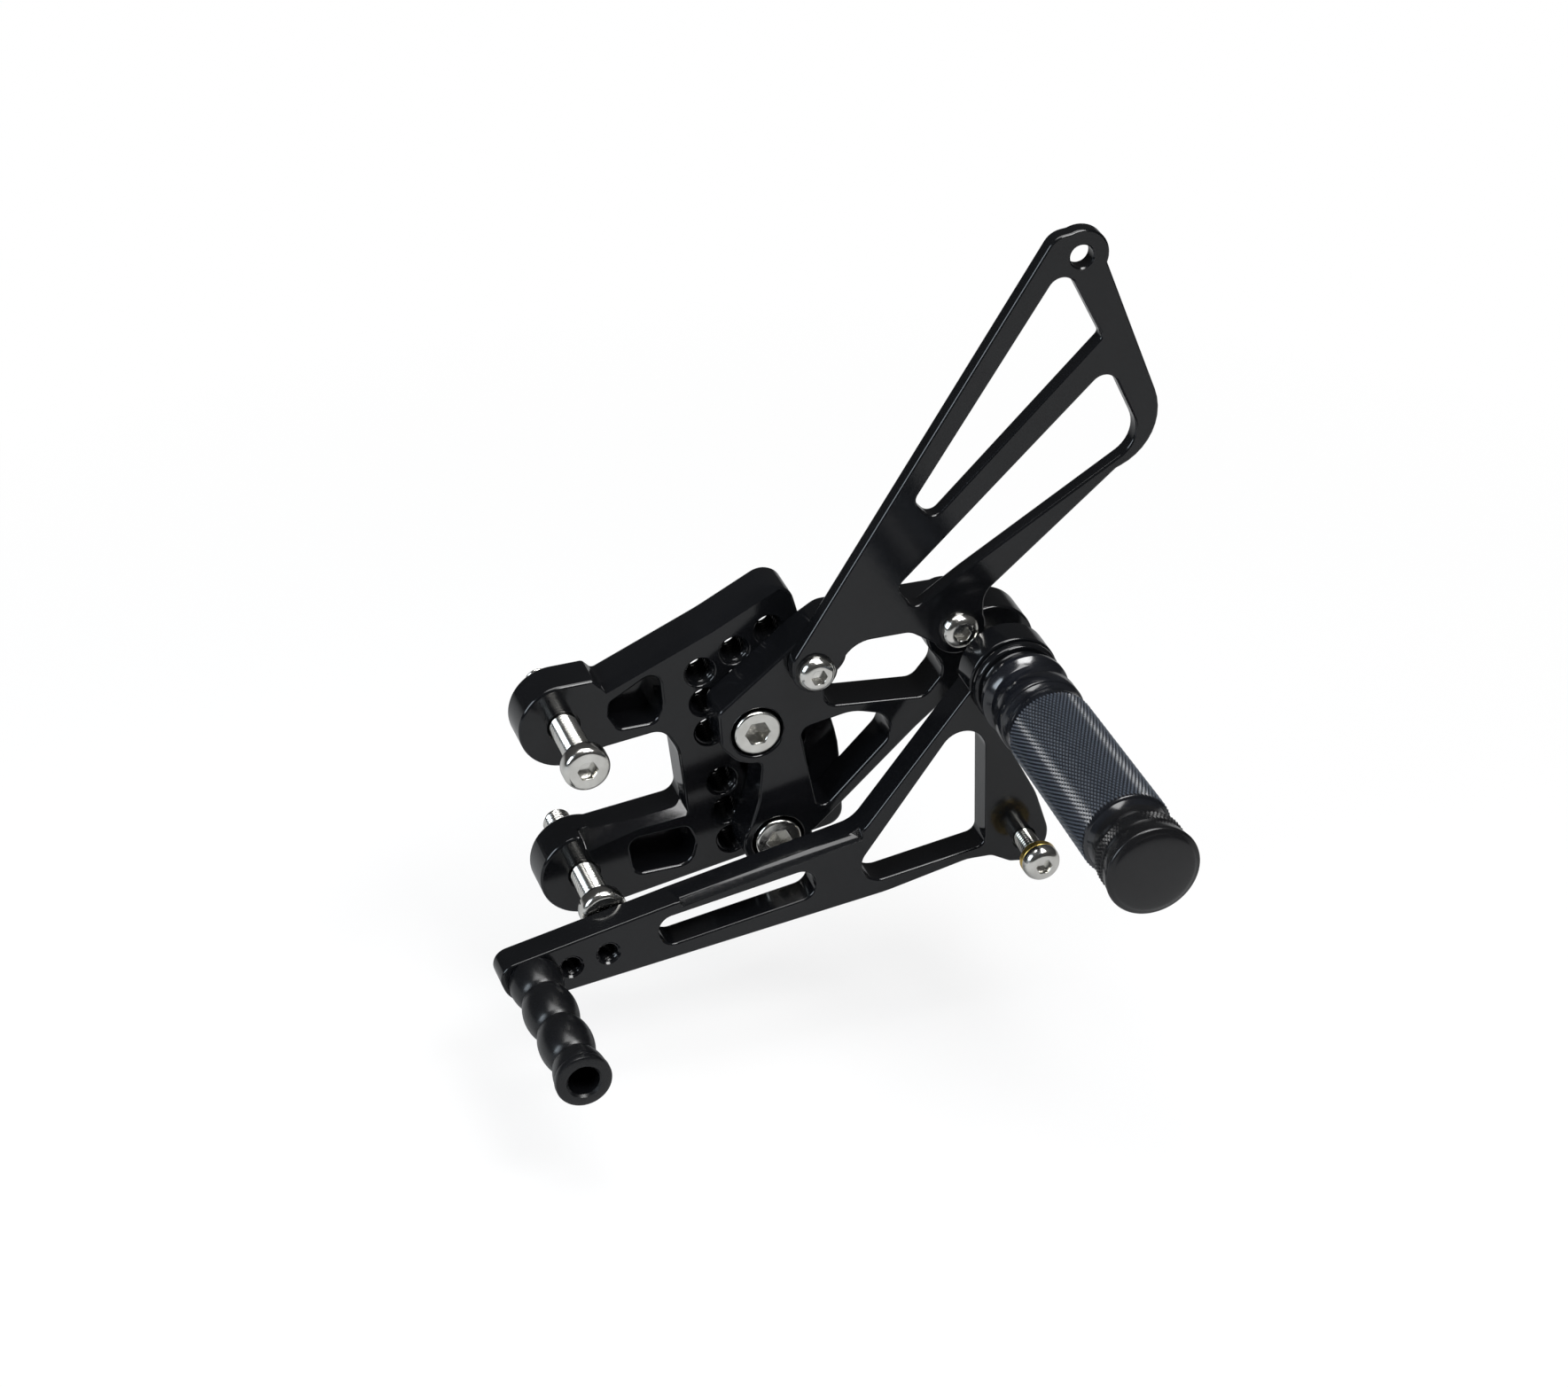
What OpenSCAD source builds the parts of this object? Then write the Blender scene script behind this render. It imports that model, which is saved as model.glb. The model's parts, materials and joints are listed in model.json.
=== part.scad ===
// Rear set footrest for the gear-shift side of a motorbike, in millimetres.
// The plates stand in the XZ plane, +X runs to the rear of the bike and +Z up.
// Outboard is -Y: "out" below is the distance from the frame-side face towards the rider.
// The origin is midway between the two frame bolts, on the bracket's frame-side face.

/* [Plates] */
// Thickness of the frame bracket
bracket_t = 12; // [10:0.5:14]
// Thickness of the carrier plate
carrier_t = 12; // [11:0.5:15]
// Thickness of the heel guard
guard_t = 4.5; // [3:0.5:5]
// Thickness of the shift lever
lever_t = 9; // [9:0.5:12]
// From the carrier's outer face to the lever's back
lever_standoff = 9; // [9:0.5:13]
// Width of the wide bevels on the bracket's arms
arm_bevel = 2.2; // [0.8:0.2:3]
// Width of the wide bevel along the lever's upper edge
lever_bevel = 2; // [0.6:0.2:2.4]

/* [Frame bolts] */
// Distance between the two frame bolts
frame_bolt_pitch = 48; // [46:1:52]
// Lean of the line of the frame bolts
frame_bolt_lean = 5.5; // [2:0.5:8]
// Radius of the bracket's two bosses
boss_r = 12.25; // [10.5:0.25:13]
// Thread radius of the frame and carrier bolts
m8_r = 4; // [3:0.5:4.5]
// Length of a frame bolt under its head
frame_bolt_len = 45; // [40:5:60]
// Head radius of a frame bolt
frame_head_r = 6.5; // [6:0.25:7]
// Head height of a frame bolt
frame_head_h = 4.5; // [3.5:0.5:4.5]
// Distance of the upper bolt's head from the bracket
upper_bolt_out = 19; // [6:1:26]

/* [Carrier bolts and adjustment holes] */
// Rearward place of the upper carrier bolt
carrier_bolt_x = 50.2; // [48.6:0.2:52]
// Height of the upper carrier bolt over the upper frame bolt
carrier_bolt_z = -4.5; // [-6:0.5:-3.5]
// Distance between the two carrier bolts
carrier_bolt_pitch = 35.8; // [34:0.2:37]
// Lean of the line of the carrier bolts
carrier_bolt_lean = 9.5; // [8:0.5:11]
// Pitch of the adjustment holes along a row
hole_pitch = 10.8; // [10:0.2:12]
// Rise of a row of adjustment holes
hole_row_angle = 27; // [22:1:32]
// Pitch of the rows of adjustment holes
row_pitch = 9.6; // [9.2:0.1:10.4]
// Lean of the columns of adjustment holes
column_lean = 7.5; // [5:0.5:10]
// Head radius of a carrier bolt
cap_head_r = 6.5; // [6:0.25:6.75]
// Head height of a carrier bolt
cap_head_h = 8; // [6:0.5:8]
// Radial play of a sunk head in its counterbore
head_play = 0.75; // [0.4:0.05:1]

/* [Foot peg] */
// Rearward place of the foot peg's axis
peg_x = 116; // [114:1:118]
// Height of the foot peg's axis over the upper frame bolt
peg_z = 10; // [8:0.5:12]
// Radius of the carrier's and lever's hub
hub_r = 12.5; // [11.5:0.25:13]
// Rim radius of the two rings at the peg's root
ring_r = 12.15; // [11.4:0.15:13]
// Length of the knurled grip
grip_len = 55.5; // [45:0.5:75]
// Radius of the grip at its root
grip_root_r = 11.3; // [11:0.1:12]
// Radius of the grip at its tip
grip_tip_r = 12.3; // [11.5:0.1:13]
// Height of the dome on the end cap
cap_dome_h = 3; // [1:0.5:5]
// Length of the peg's bolt under its head
peg_bolt_len = 65; // [56:1:70]

/* [Bearing] */
// Outer radius of the lever's bearing
bearing_or = 8; // [7.75:0.05:8.5]
// Width of the lever's bearing
bearing_w = 5; // [4:0.5:5]
// Radius of the bearing's balls
ball_r = 1.05; // [0.9:0.05:1.1]
// Number of balls
ball_count = 8; // [6:1:9]

/* [Shift lever] */
// Rearward place of the toe peg's axis
toe_x = -18; // [-22:0.5:-14]
// Height of the toe peg's axis
toe_z = -58.2; // [-60:0.2:-57]
// Pitch of the three toe peg holes
toe_hole_pitch = 10.5; // [9:0.5:11.5]
// Thread radius of the guard, toe peg and link bolts
m6_r = 3; // [2.5:0.25:3.25]
// Number of bulges on the toe peg
toe_bulges = 3; // [2:1:5]
// Length of one bulge
toe_bulge_len = 12.5; // [9:0.5:14]
// Radius of a bulge
toe_bulge_r = 6.8; // [6.2:0.1:8]
// Radius of the waist between two bulges
toe_waist_r = 5.2; // [4.8:0.1:6]
// Radius of the toe peg's end flange
toe_flange_r = 7.6; // [6.5:0.1:9]
// Rearward place of the link bolt
link_x = 120.5; // [119.5:0.5:121]
// Height of the link bolt
link_z = -41; // [-41.5:0.5:-40]
// Free length of the link bolt's thread
link_free = 10; // [6:0.5:16]
// Height of the lever's slot
slot_h = 9; // [6:0.5:9.5]

/* [Heel guard] */
// Rearward place of the guard's front bolt
guard_bolt_x = 65; // [64.5:0.5:65.5]
// Height of the guard's front bolt
guard_bolt_z = 14.1; // [13.6:0.5:15]
// Rearward place of the guard's rear bolt
guard_bolt2_x = 105.2; // [104.7:0.5:105.7]
// Height of the guard's rear bolt
guard_bolt2_z = 20.1; // [19.6:0.5:21]
// Radius of the hole at the guard's top
guard_hole_r = 3.2; // [2.5:0.1:4]
// Radius of the guard's top end
guard_top_r = 7.6; // [6.6:0.2:8.4]

/* [Hidden] */
$fn = 64;
ARC_STEP = 9;
CUT = 1;

// Colours of the finishes
BLACK = [0.05, 0.05, 0.055];
CAP_BLACK = [0.09, 0.09, 0.1];
STEEL = [0.78, 0.78, 0.76];
BRASS = [0.8, 0.62, 0.25];

// Clearances between parts
bolt_play = 0.25;
turn_gap = 0.5;
sleeve_play = 0.1;
ball_play = 0.03;

// Places in the side view, measured from the upper frame bolt
upper_bolt = [0, 0];
lower_bolt = frame_bolt_pitch * [sin(frame_bolt_lean), -cos(frame_bolt_lean)];
datum = (upper_bolt + lower_bolt) / 2;
carrier_a = [carrier_bolt_x, carrier_bolt_z];
carrier_b = carrier_a + carrier_bolt_pitch * [sin(carrier_bolt_lean), -cos(carrier_bolt_lean)];
hub = [peg_x, peg_z];
guard_a = [guard_bolt_x, guard_bolt_z];
guard_b = [guard_bolt2_x, guard_bolt2_z];
guard_top = [136.6, 124.6];
toe = [toe_x, toe_z];
toe_hole_angle = 12;
link = [link_x, link_z];

// Distances out from the frame-side face
carrier_in = bracket_t;
carrier_out = carrier_in + carrier_t;
guard_out = carrier_out + guard_t;
lever_in = carrier_out + lever_standoff;
lever_out = lever_in + lever_t;
lower_bolt_out = carrier_t + lever_standoff - frame_head_h - turn_gap;

// Heads and tools
head_proud = 0.5;
bolt_end_play = 1;
button_r = 5.25;
button_h = 3.2;
m6_socket = 4;
m8_socket = 6;
frame_socket = 5;
frame_head_round = 1.8;
shank_relief = 0.45;
tapped_sink = 0.7;
guard_bolt_len = 14;
bolt_tip = 0.8;
pocket_depth = 9;

// Bearing seat in the lever
seat_floor = 1.6;
bearing_in = lever_in + seat_floor;
bearing_out = bearing_in + bearing_w;
race_r = (bearing_or + m8_r) / 2;
land_gap = 0.75;
shield_t = 0.3;
clip_t = 1;
nose_r = m8_r + 1.25;
sleeve_r = m8_r + 2.5;

// Foot peg, distances from the lever's outer face
base_in = lever_out + turn_gap;
base_flange = 3;
base_neck = 3.5;
neck_r = ring_r - 2.25;
grip_in = base_in + base_flange + base_neck;
root_len = 12.5;
knurl_in = grip_in + root_len;
knurl_out = knurl_in + grip_len;
groove_len = 4;
band_len = 4;
grip_out = knurl_out + groove_len + band_len;
cap_len = 13.5;
peg_bore_r = 7;
spigot_len = 8;
peg_washer_t = 2;
peg_washer_r = 11;
peg_head_h = 8;

// Points of the arc that rounds corner b, which is [x, z, radius], between a and c
function unit(v) = v / norm(v);
function xz(p) = [p[0], p[1]];
function radius(p) = len(p) > 2 ? p[2] : 0;
function corner(a, b, c) =
    let (to_a = unit(xz(a) - xz(b)), to_c = unit(xz(c) - xz(b)),
         half = acos(to_a * to_c) / 2,
         room = min(norm(xz(a) - xz(b)), norm(xz(c) - xz(b))),
         r = min(radius(b), room * tan(half) * 0.98),
         centre = xz(b) + unit(to_a + to_c) * r / sin(half),
         from = xz(b) + to_a * r / tan(half) - centre,
         till = xz(b) + to_c * r / tan(half) - centre,
         start = atan2(from[1], from[0]),
         turn = atan2(from[0] * till[1] - from[1] * till[0], from * till),
         steps = max(1, ceil(abs(turn) / ARC_STEP)))
    [for (i = [0 : steps]) centre + r * [cos(start + turn * i / steps), sin(start + turn * i / steps)]];
function outline(points) =
    let (n = len(points))
    [for (i = [0 : n - 1])
        each radius(points[i]) > 0
            ? corner(points[(i + n - 1) % n], points[i], points[(i + 1) % n])
            : [xz(points[i])]];
// A point shifted by [dx, dz], with a corner radius
function off(p, dx, dz, r = 0) = [p[0] + dx, p[1] + dz, r];

// Puts children at a point of the side view, with their own +Z pointing outboard
module at(p, out) {
    translate([p[0] - datum[0], -out, p[1] - datum[1]])
        rotate([90, 0, 0])
            children();
}

module plate(points, out, thickness) {
    at([0, 0], out)
        linear_extrude(thickness)
            polygon(outline(points));
}

module disc(p, out, r, h) {
    at(p, out)
        cylinder(r = r, h = h);
}

// A hole right through a plate, with a small countersink at both faces
module through_hole(p, out, thickness, r, sink = 0.4) {
    disc(p, out - CUT, r, thickness + 2 * CUT);
    at(p, out - CUT)
        cylinder(r1 = r + sink + CUT, r2 = r, h = sink + CUT);
    at(p, out + thickness - sink)
        cylinder(r1 = r, r2 = r + sink + CUT, h = sink + CUT);
}

// Cuts a 45 degree bevel along the edge from a to b of a plate's face; the plate lies on the right
module edge_bevel(a, b, out, width) {
    run = b - a;
    at(a, out)
        rotate([0, 0, atan2(run[1], run[0])])
            translate([0, -width, 0])
                rotate([45, 0, 0])
                    translate([0, 0, -3 * width])
                        cube([norm(run), 3 * width, 6 * width]);
}

module ring(p, out, outer_r, inner_r, h) {
    at(p, out)
        difference() {
            cylinder(r = outer_r, h = h);
            translate([0, 0, -CUT])
                cylinder(r = inner_r, h = h + 2 * CUT);
        }
}

module hex_socket(width, depth) {
    translate([0, 0, -depth])
        cylinder(r = width / sqrt(3), h = depth + CUT, $fn = 6);
}

// A bolt whose head rises along +Z from z = 0 and whose thread hangs below it
module bolt(thread_r, length, head_r, head_h, round_h, socket) {
    difference() {
        union() {
            rotate_extrude()
                polygon(concat(
                    [[0, 0], [head_r, 0], [head_r, head_h - round_h]],
                    [for (a = [0 : 15 : 90])
                        [head_r - round_h * (1 - cos(a)), head_h - round_h * (1 - sin(a))]],
                    [[0, head_h]]));
            translate([0, 0, bolt_tip - length])
                cylinder(r = thread_r, h = length - bolt_tip + head_h / 4);
            translate([0, 0, -length])
                cylinder(r1 = thread_r - bolt_tip, r2 = thread_r, h = bolt_tip);
        }
        translate([0, 0, head_h])
            hex_socket(socket, head_h * 0.6);
    }
}

module button_bolt(length) {
    bolt(m6_r, length, button_r, button_h, button_h * 0.85, m6_socket);
}

module cap_bolt(length, head_h) {
    bolt(m8_r, length, cap_head_r, head_h, 0.8, m8_socket);
}

// The lattice of tapped holes around a carrier bolt, which sits in the middle of its lowest row
function lattice(bolt_point) =
    [for (i = [-1 : 1], j = [0 : 2])
        bolt_point + i * hole_pitch * [cos(hole_row_angle), sin(hole_row_angle)]
            + j * row_pitch * [-sin(column_lean), cos(column_lean)]];

bracket_outline = [
    [0, boss_r], off([0, boss_r], 8.5, 0.3, 1.2), [11, 9.9, 1.5], [40.6, 23.4, 40],
    [62.3, 35, 6], [77.3, -19.5, 40], [78.8, -45.2, 5],
    off(lower_bolt, 2.4, -boss_r + 0.25), lower_bolt, off(lower_bolt, 1.5, boss_r - 0.6),
    [19, -34.4, 14], [33.9, -32.4, 4], [31.6, -13.5, 10], [27.6, -6.4, 5],
    off(upper_bolt, 11, -8.7, 6), off(upper_bolt, 4, 0.6 - boss_r), upper_bolt];
upper_pocket = [[12.9, 4.8, 2], [12.6, 0.6, 2], [15.2, -3.8, 2.5], [25.4, -3.6, 3], [27.6, 1, 4],
                [26.6, 12.9, 3]];
lower_pocket = [[17.2, -39.6, 3], [19, -50.8, 3], [34.8, -50.2, 4], [36.3, -43.5, 4], [34, -38.4, 2.5]];

module frame_bracket() {
    color(BLACK)
        difference() {
            union() {
                plate(bracket_outline, 0, bracket_t);
                disc(upper_bolt, 0, boss_r, bracket_t);
                disc(lower_bolt, 0, boss_r, bracket_t);
            }
            for (p = [upper_bolt, lower_bolt])
                through_hole(p, 0, bracket_t, m8_r + bolt_play);
            for (p = concat(lattice(carrier_a), lattice(carrier_b)))
                through_hole(p, 0, bracket_t, m8_r, tapped_sink);
            for (pocket = [upper_pocket, lower_pocket])
                plate(pocket, bracket_t - pocket_depth, pocket_depth + CUT);
            edge_bevel([11, 9.9], [40.6, 23.4], bracket_t, arm_bevel);
            edge_bevel([40.6, 23.4], [62.3, 35], bracket_t, arm_bevel);
            edge_bevel([5, -38.7], [19, -34.4], bracket_t, arm_bevel);
            edge_bevel([19, -34.4], [33.9, -32.4], bracket_t, arm_bevel);
        }
}

// A frame bolt, whose shank is relieved from its head to the frame-side face
module frame_bolt(p, head_out) {
    color(STEEL)
        difference() {
            at(p, head_out)
                bolt(m8_r, frame_bolt_len, frame_head_r, frame_head_h, frame_head_round, frame_socket);
            ring(p, 0, m8_r + CUT, m8_r - shank_relief, head_out);
        }
}

carrier_outline = [
    [39.4, 3.2, 2.5], [63.5, 23, 10], [70, 27, 6], off(guard_b, -2, 7, 4), off(guard_b, 5, 4),
    hub, off(hub, -7.2, -9.6), [95, -11.4, 20], [66, -39, 4], carrier_b, off(carrier_b, -8.4, 3.6),
    [50.6, -26, 12], [51.6, -14.4, 2], off(carrier_a, -3, -9.3, 6), off(carrier_a, -9.9, -4, 5)];
carrier_upper_window = [
    [69.3, 0.2, 3.5], [69.1, 6.6, 2], [75, 13, 6], [75.8, 22, 4], [96.3, 22, 4], [98.4, 12.6, 8],
    [103.8, 5.6, 5], [97.6, -2, 4]];
carrier_lower_window = [[62.2, -5.9, 3], [77, -2.8, 12], [93, -7.6, 6], [67.7, -33.6, 2.5]];
lug_r = cap_head_r + 3.25;

module carrier_plate() {
    color(BLACK)
        difference() {
            union() {
                plate(carrier_outline, carrier_in, carrier_t);
                for (p = [carrier_a, carrier_b])
                    disc(p, carrier_in, lug_r, carrier_t);
                for (p = [guard_a, guard_b])
                    disc(p, carrier_in, 7.5, carrier_t);
                disc(hub, carrier_in, hub_r, carrier_t);
            }
            plate(carrier_upper_window, carrier_in - CUT, carrier_t + 2 * CUT);
            plate(carrier_lower_window, carrier_in - CUT, carrier_t + 2 * CUT);
            for (p = [carrier_a, carrier_b]) {
                disc(p, carrier_in - CUT, m8_r + bolt_play, carrier_t + 2 * CUT);
                disc(p, carrier_out + head_proud - cap_head_h, cap_head_r + head_play, cap_head_h + CUT);
            }
            for (p = [guard_a, guard_b])
                disc(p, carrier_in - CUT, m6_r, carrier_t + 2 * CUT);
            disc(hub, carrier_in - CUT, m8_r + bolt_play, carrier_t + 2 * CUT);
        }
}

module carrier_bolt(p) {
    color(STEEL)
        at(p, carrier_out + head_proud - cap_head_h)
            cap_bolt(carrier_out + head_proud - cap_head_h - bolt_end_play, cap_head_h);
}

guard_outline = [
    [58.4, 17.6, 7], off(guard_a, -6.2, -1), guard_a, off(guard_a, 5.6, -0.8), [76, 21.1, 9],
    [91.5, 21.3, 5], off(guard_b, -6.8, -3.4), guard_b, off(guard_b, 7, 3.2), [112.2, 29.6, 7],
    [148.6, 61.2, 2], [164.6, 67.9, 16.5], off(guard_top, 7.1, -2.6), guard_top,
    off(guard_top, -1.2, 7.2), off(guard_top, -7.6, 6.4, 6)];
guard_window_a = [[131.9, 123.4, 4], [143.2, 100.8, 1.5], [97.3, 54.4, 3], [91.8, 60.6, 3]];
guard_window_b = [[145.5, 92.2, 4], [156.2, 69, 9], [106, 37.4, 8], [92.3, 28, 3], [87.6, 35.6, 3]];

module heel_guard() {
    color(BLACK)
        difference() {
            union() {
                plate(guard_outline, carrier_out, guard_t);
                disc(guard_a, carrier_out, 6.3, guard_t);
                disc(guard_b, carrier_out, 7.7, guard_t);
                disc(guard_top, carrier_out, guard_top_r, guard_t);
            }
            plate(guard_window_a, carrier_out - CUT, guard_t + 2 * CUT);
            plate(guard_window_b, carrier_out - CUT, guard_t + 2 * CUT);
            for (p = [guard_a, guard_b])
                disc(p, carrier_out - CUT, m6_r + bolt_play, guard_t + 2 * CUT);
            through_hole(guard_top, carrier_out, guard_t, guard_hole_r);
        }
}

module heel_guard_bolts() {
    color(STEEL)
        for (p = [guard_a, guard_b])
            at(p, guard_out)
                button_bolt(guard_bolt_len);
}

module spacer_sleeve() {
    color(STEEL)
        at(hub, carrier_out)
            rotate_extrude()
                polygon([
                    [m8_r + sleeve_play, 0], [sleeve_r, 0], [sleeve_r, lever_standoff - turn_gap],
                    [nose_r, lever_standoff - turn_gap], [nose_r, lever_standoff + seat_floor],
                    [m8_r + sleeve_play, lever_standoff + seat_floor]]);
}

module race_groove(play) {
    rotate_extrude()
        translate([race_r, bearing_w / 2])
            circle(r = ball_r + play);
}

module bearing_inner_ring() {
    color(STEEL)
        at(hub, bearing_in)
            difference() {
                cylinder(r = race_r - land_gap, h = bearing_w);
                translate([0, 0, -CUT])
                    cylinder(r = m8_r, h = bearing_w + 2 * CUT);
                race_groove(ball_play);
            }
}

module bearing_outer_ring() {
    color(STEEL)
        at(hub, bearing_in)
            difference() {
                cylinder(r = bearing_or, h = bearing_w);
                translate([0, 0, -CUT])
                    cylinder(r = race_r + land_gap, h = bearing_w + 2 * CUT);
                race_groove(ball_play);
            }
}

module ball_ring(r) {
    for (i = [0 : ball_count - 1])
        rotate([0, 0, 360 * i / ball_count])
            translate([race_r, 0, bearing_w / 2])
                sphere(r = r, $fn = 24);
}

module bearing_balls() {
    color(STEEL)
        at(hub, bearing_in)
            ball_ring(ball_r);
}

cage_w = 3.2;
cage_t = 0.7;

module bearing_cage() {
    color(BRASS)
        at(hub, bearing_in)
            difference() {
                translate([0, 0, (bearing_w - cage_w) / 2])
                    difference() {
                        cylinder(r = race_r + cage_t / 2, h = cage_w);
                        translate([0, 0, -CUT])
                            cylinder(r = race_r - cage_t / 2, h = cage_w + 2 * CUT);
                    }
                for (i = [0 : ball_count - 1])
                    rotate([0, 0, 360 * i / ball_count])
                        translate([race_r - cage_t, 0, bearing_w / 2])
                            rotate([0, 90, 0])
                                cylinder(r = ball_r + 2 * ball_play, h = 2 * cage_t);
            }
}

module bearing_shields() {
    color(STEEL)
        for (out = [bearing_in, bearing_out - shield_t])
            ring(hub, out, race_r + land_gap, race_r - land_gap + sleeve_play, shield_t);
}

clip_width = 1.3;
clip_groove = 0.45;

module circlip() {
    color(STEEL)
        at(hub, bearing_out)
            difference() {
                union() {
                    difference() {
                        cylinder(r = bearing_or + clip_groove, h = clip_t);
                        translate([0, 0, -CUT])
                            cylinder(r = bearing_or - clip_width, h = clip_t + 2 * CUT);
                    }
                    for (a = [-18, 18])
                        rotate([0, 0, a])
                            translate([0, bearing_or - 0.9, 0])
                                cylinder(r = 1.1, h = clip_t);
                }
                translate([-0.9, 0, -CUT])
                    cube([1.8, 2 * bearing_or, clip_t + 2 * CUT]);
                for (a = [-18, 18])
                    rotate([0, 0, a])
                        translate([0, bearing_or - 0.9, -CUT])
                            cylinder(r = 0.5, h = clip_t + 2 * CUT);
            }
}

module peg_base() {
    start = bearing_out;
    flange = base_in - start;
    face = flange + base_flange;
    color(BLACK)
        at(hub, start)
            rotate_extrude()
                polygon([
                    [m8_r + sleeve_play, 0], [nose_r, 0], [nose_r, flange], [ring_r - 0.7, flange],
                    [ring_r, flange + 0.7], [ring_r, face - 0.9], [ring_r - 0.9, face],
                    [neck_r + 0.5, face], [neck_r, face + 0.6], [neck_r, face + base_neck],
                    [m8_r + sleeve_play, face + base_neck]]);
}

module peg_grip() {
    tip = grip_out - grip_in;
    knurl_end = knurl_out - grip_in;
    thread_end = peg_bolt_len - (grip_in - carrier_in + peg_washer_t) + 2;
    color(BLACK)
        at(hub, grip_in)
            difference() {
                rotate_extrude()
                    polygon(concat(
                        [[0, 0], [ring_r - 0.8, 0], [ring_r, 0.8], [ring_r, 0.19 * root_len],
                         [ring_r - 1.6, 0.27 * root_len]],
                        [for (i = [1 : 5]) [ring_r - 1.6 - 1.3 * sin(i * 36), (0.27 + 0.072 * i) * root_len]],
                        [[ring_r - 1.3, 0.67 * root_len], [ring_r - 1.3, 0.82 * root_len],
                         [ring_r - 2.2, 0.88 * root_len],
                         [ring_r - 2.2, root_len - 0.4], [grip_root_r - 0.4, root_len - 0.4],
                         [grip_root_r, root_len], [grip_tip_r, knurl_end],
                         [grip_tip_r - 0.5, knurl_end + 0.4]],
                        [for (i = [0 : 6])
                            [grip_tip_r - 1 - 0.9 * sin(i * 30), knurl_end + 0.4 + i * (groove_len - 0.8) / 6]],
                        [[grip_tip_r - 0.2, tip - band_len], [grip_tip_r - 0.2, tip - 0.4],
                         [grip_tip_r - 0.6, tip], [0, tip]]));
                translate([0, 0, -CUT])
                    cylinder(r = m8_r, h = thread_end + CUT);
                translate([0, 0, thread_end + 3])
                    cylinder(r = peg_bore_r, h = tip);
            }
}

module peg_end_cap() {
    root_r = grip_tip_r - 0.8;
    rim_r = grip_tip_r + 0.3;
    color(CAP_BLACK)
        at(hub, grip_out)
            rotate_extrude()
                polygon(concat(
                    [[0, -spigot_len], [peg_bore_r - 0.6, -spigot_len], [peg_bore_r, 0.6 - spigot_len],
                     [peg_bore_r, 0], [root_r - 0.3, 0], [root_r, 0.4], [root_r, 3], [rim_r, 9.5],
                     [rim_r, cap_len - 1.4], [rim_r - 0.4, cap_len - 0.4], [rim_r - 1.4, cap_len]],
                    [for (a = [75 : -15 : 0])
                        [(rim_r - 1.4) * sin(a), cap_len + cap_dome_h * cos(a)]]));
}

module peg_bolt() {
    color(STEEL)
        at(hub, carrier_in - peg_washer_t)
            mirror([0, 0, 1])
                cap_bolt(peg_bolt_len, peg_head_h);
}

module peg_washer() {
    color(STEEL)
        ring(hub, carrier_in - peg_washer_t, peg_washer_r, m8_r + bolt_play, peg_washer_t);
}

// Construction lines of the lever: its upper edge, and the branch that climbs to the hub
lever_tip_top = [-28.6, -53.4];
lever_bend = [20.8, -41.9];
lever_elbow = [73.6, -30.4];
lever_outline = [
    off(lever_tip_top, 0, 0, 4.5), lever_bend, off(lever_elbow, 0, 0, 9), off(hub, -11.6, -0.6),
    hub, off(hub, -6, -10.4), [123.6, -27.2, 20], off(link, 7.1, 1, 8), off(link, 4.6, -8, 5),
    off(link, -4, -6.8, 3), off(link, -9.4, -3.8, 4), [104, -44.7, 10], [81, -50.2, 30],
    [-24, -65.8, 8]];
lever_window = [[108.2, 9.7, 6.5], [67.2, -48.2, 5.5], [109.2, -40.9, 3]];
slot_a = [21.2, -50.1];
slot_b = [56.3, -43.7];
slot_run = unit(slot_b - slot_a) * slot_h / 2;
slot_side = [-slot_run[1], slot_run[0]];
slot_round = slot_h * 0.49;
lever_slot = [
    for (p = [slot_a - slot_run + slot_side, slot_b + slot_run + slot_side,
              slot_b + slot_run - slot_side, slot_a - slot_run - slot_side])
        off(p, 0, 0, slot_round)];

function toe_hole(i) = toe + i * toe_hole_pitch * [cos(toe_hole_angle), sin(toe_hole_angle)];

module shift_lever() {
    color(BLACK)
        difference() {
            union() {
                plate(lever_outline, lever_in, lever_t);
                disc(hub, lever_in, hub_r, lever_t);
            }
            plate(lever_window, lever_in - CUT, lever_t + 2 * CUT);
            plate(lever_slot, lever_in - CUT, lever_t + 2 * CUT);
            for (i = [0 : 2])
                through_hole(toe_hole(i), lever_in, lever_t, m6_r, 0.5);
            through_hole(link, lever_in, lever_t, m6_r, 0.5);
            disc(hub, lever_in - CUT, race_r + 0.5, lever_t);
            disc(hub, bearing_in, bearing_or, lever_t);
            disc(hub, bearing_out, bearing_or + clip_groove, clip_t);
            edge_bevel(lever_bend + 0.04 * (lever_elbow - lever_bend), lever_elbow, lever_out, lever_bevel);
        }
}

module toe_peg() {
    base = 1;
    bulge_end = base + toe_bulges * toe_bulge_len;
    flange = bulge_end + 3.6;
    tip = flange + 6;
    color(BLACK)
        at(toe, lever_out)
            difference() {
                rotate_extrude()
                    polygon(concat(
                        [[0, 0], [toe_bulge_r, 0], [toe_waist_r + 0.6, base]],
                        [for (n = [0 : toe_bulges - 1], i = [0 : 8])
                            [toe_waist_r + (toe_bulge_r - toe_waist_r) * sqrt(sin(i * 22.5)),
                             base + (n + i / 8) * toe_bulge_len]],
                        [[toe_waist_r, flange - 1.6], [toe_flange_r - 0.8, flange],
                         [toe_flange_r, flange + 0.8], [toe_flange_r, tip - 0.7],
                         [toe_flange_r - 0.7, tip], [0, tip]]));
                translate([0, 0, -CUT])
                    cylinder(r = m6_r, h = 12 + CUT);
                translate([0, 0, tip - 12])
                    cylinder(r = toe_flange_r - 3.35, h = 12 + CUT);
                translate([0, 0, tip - 0.6])
                    cylinder(r1 = toe_flange_r - 3.35, r2 = toe_flange_r - 1.75, h = 1.6);
            }
}

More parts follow.
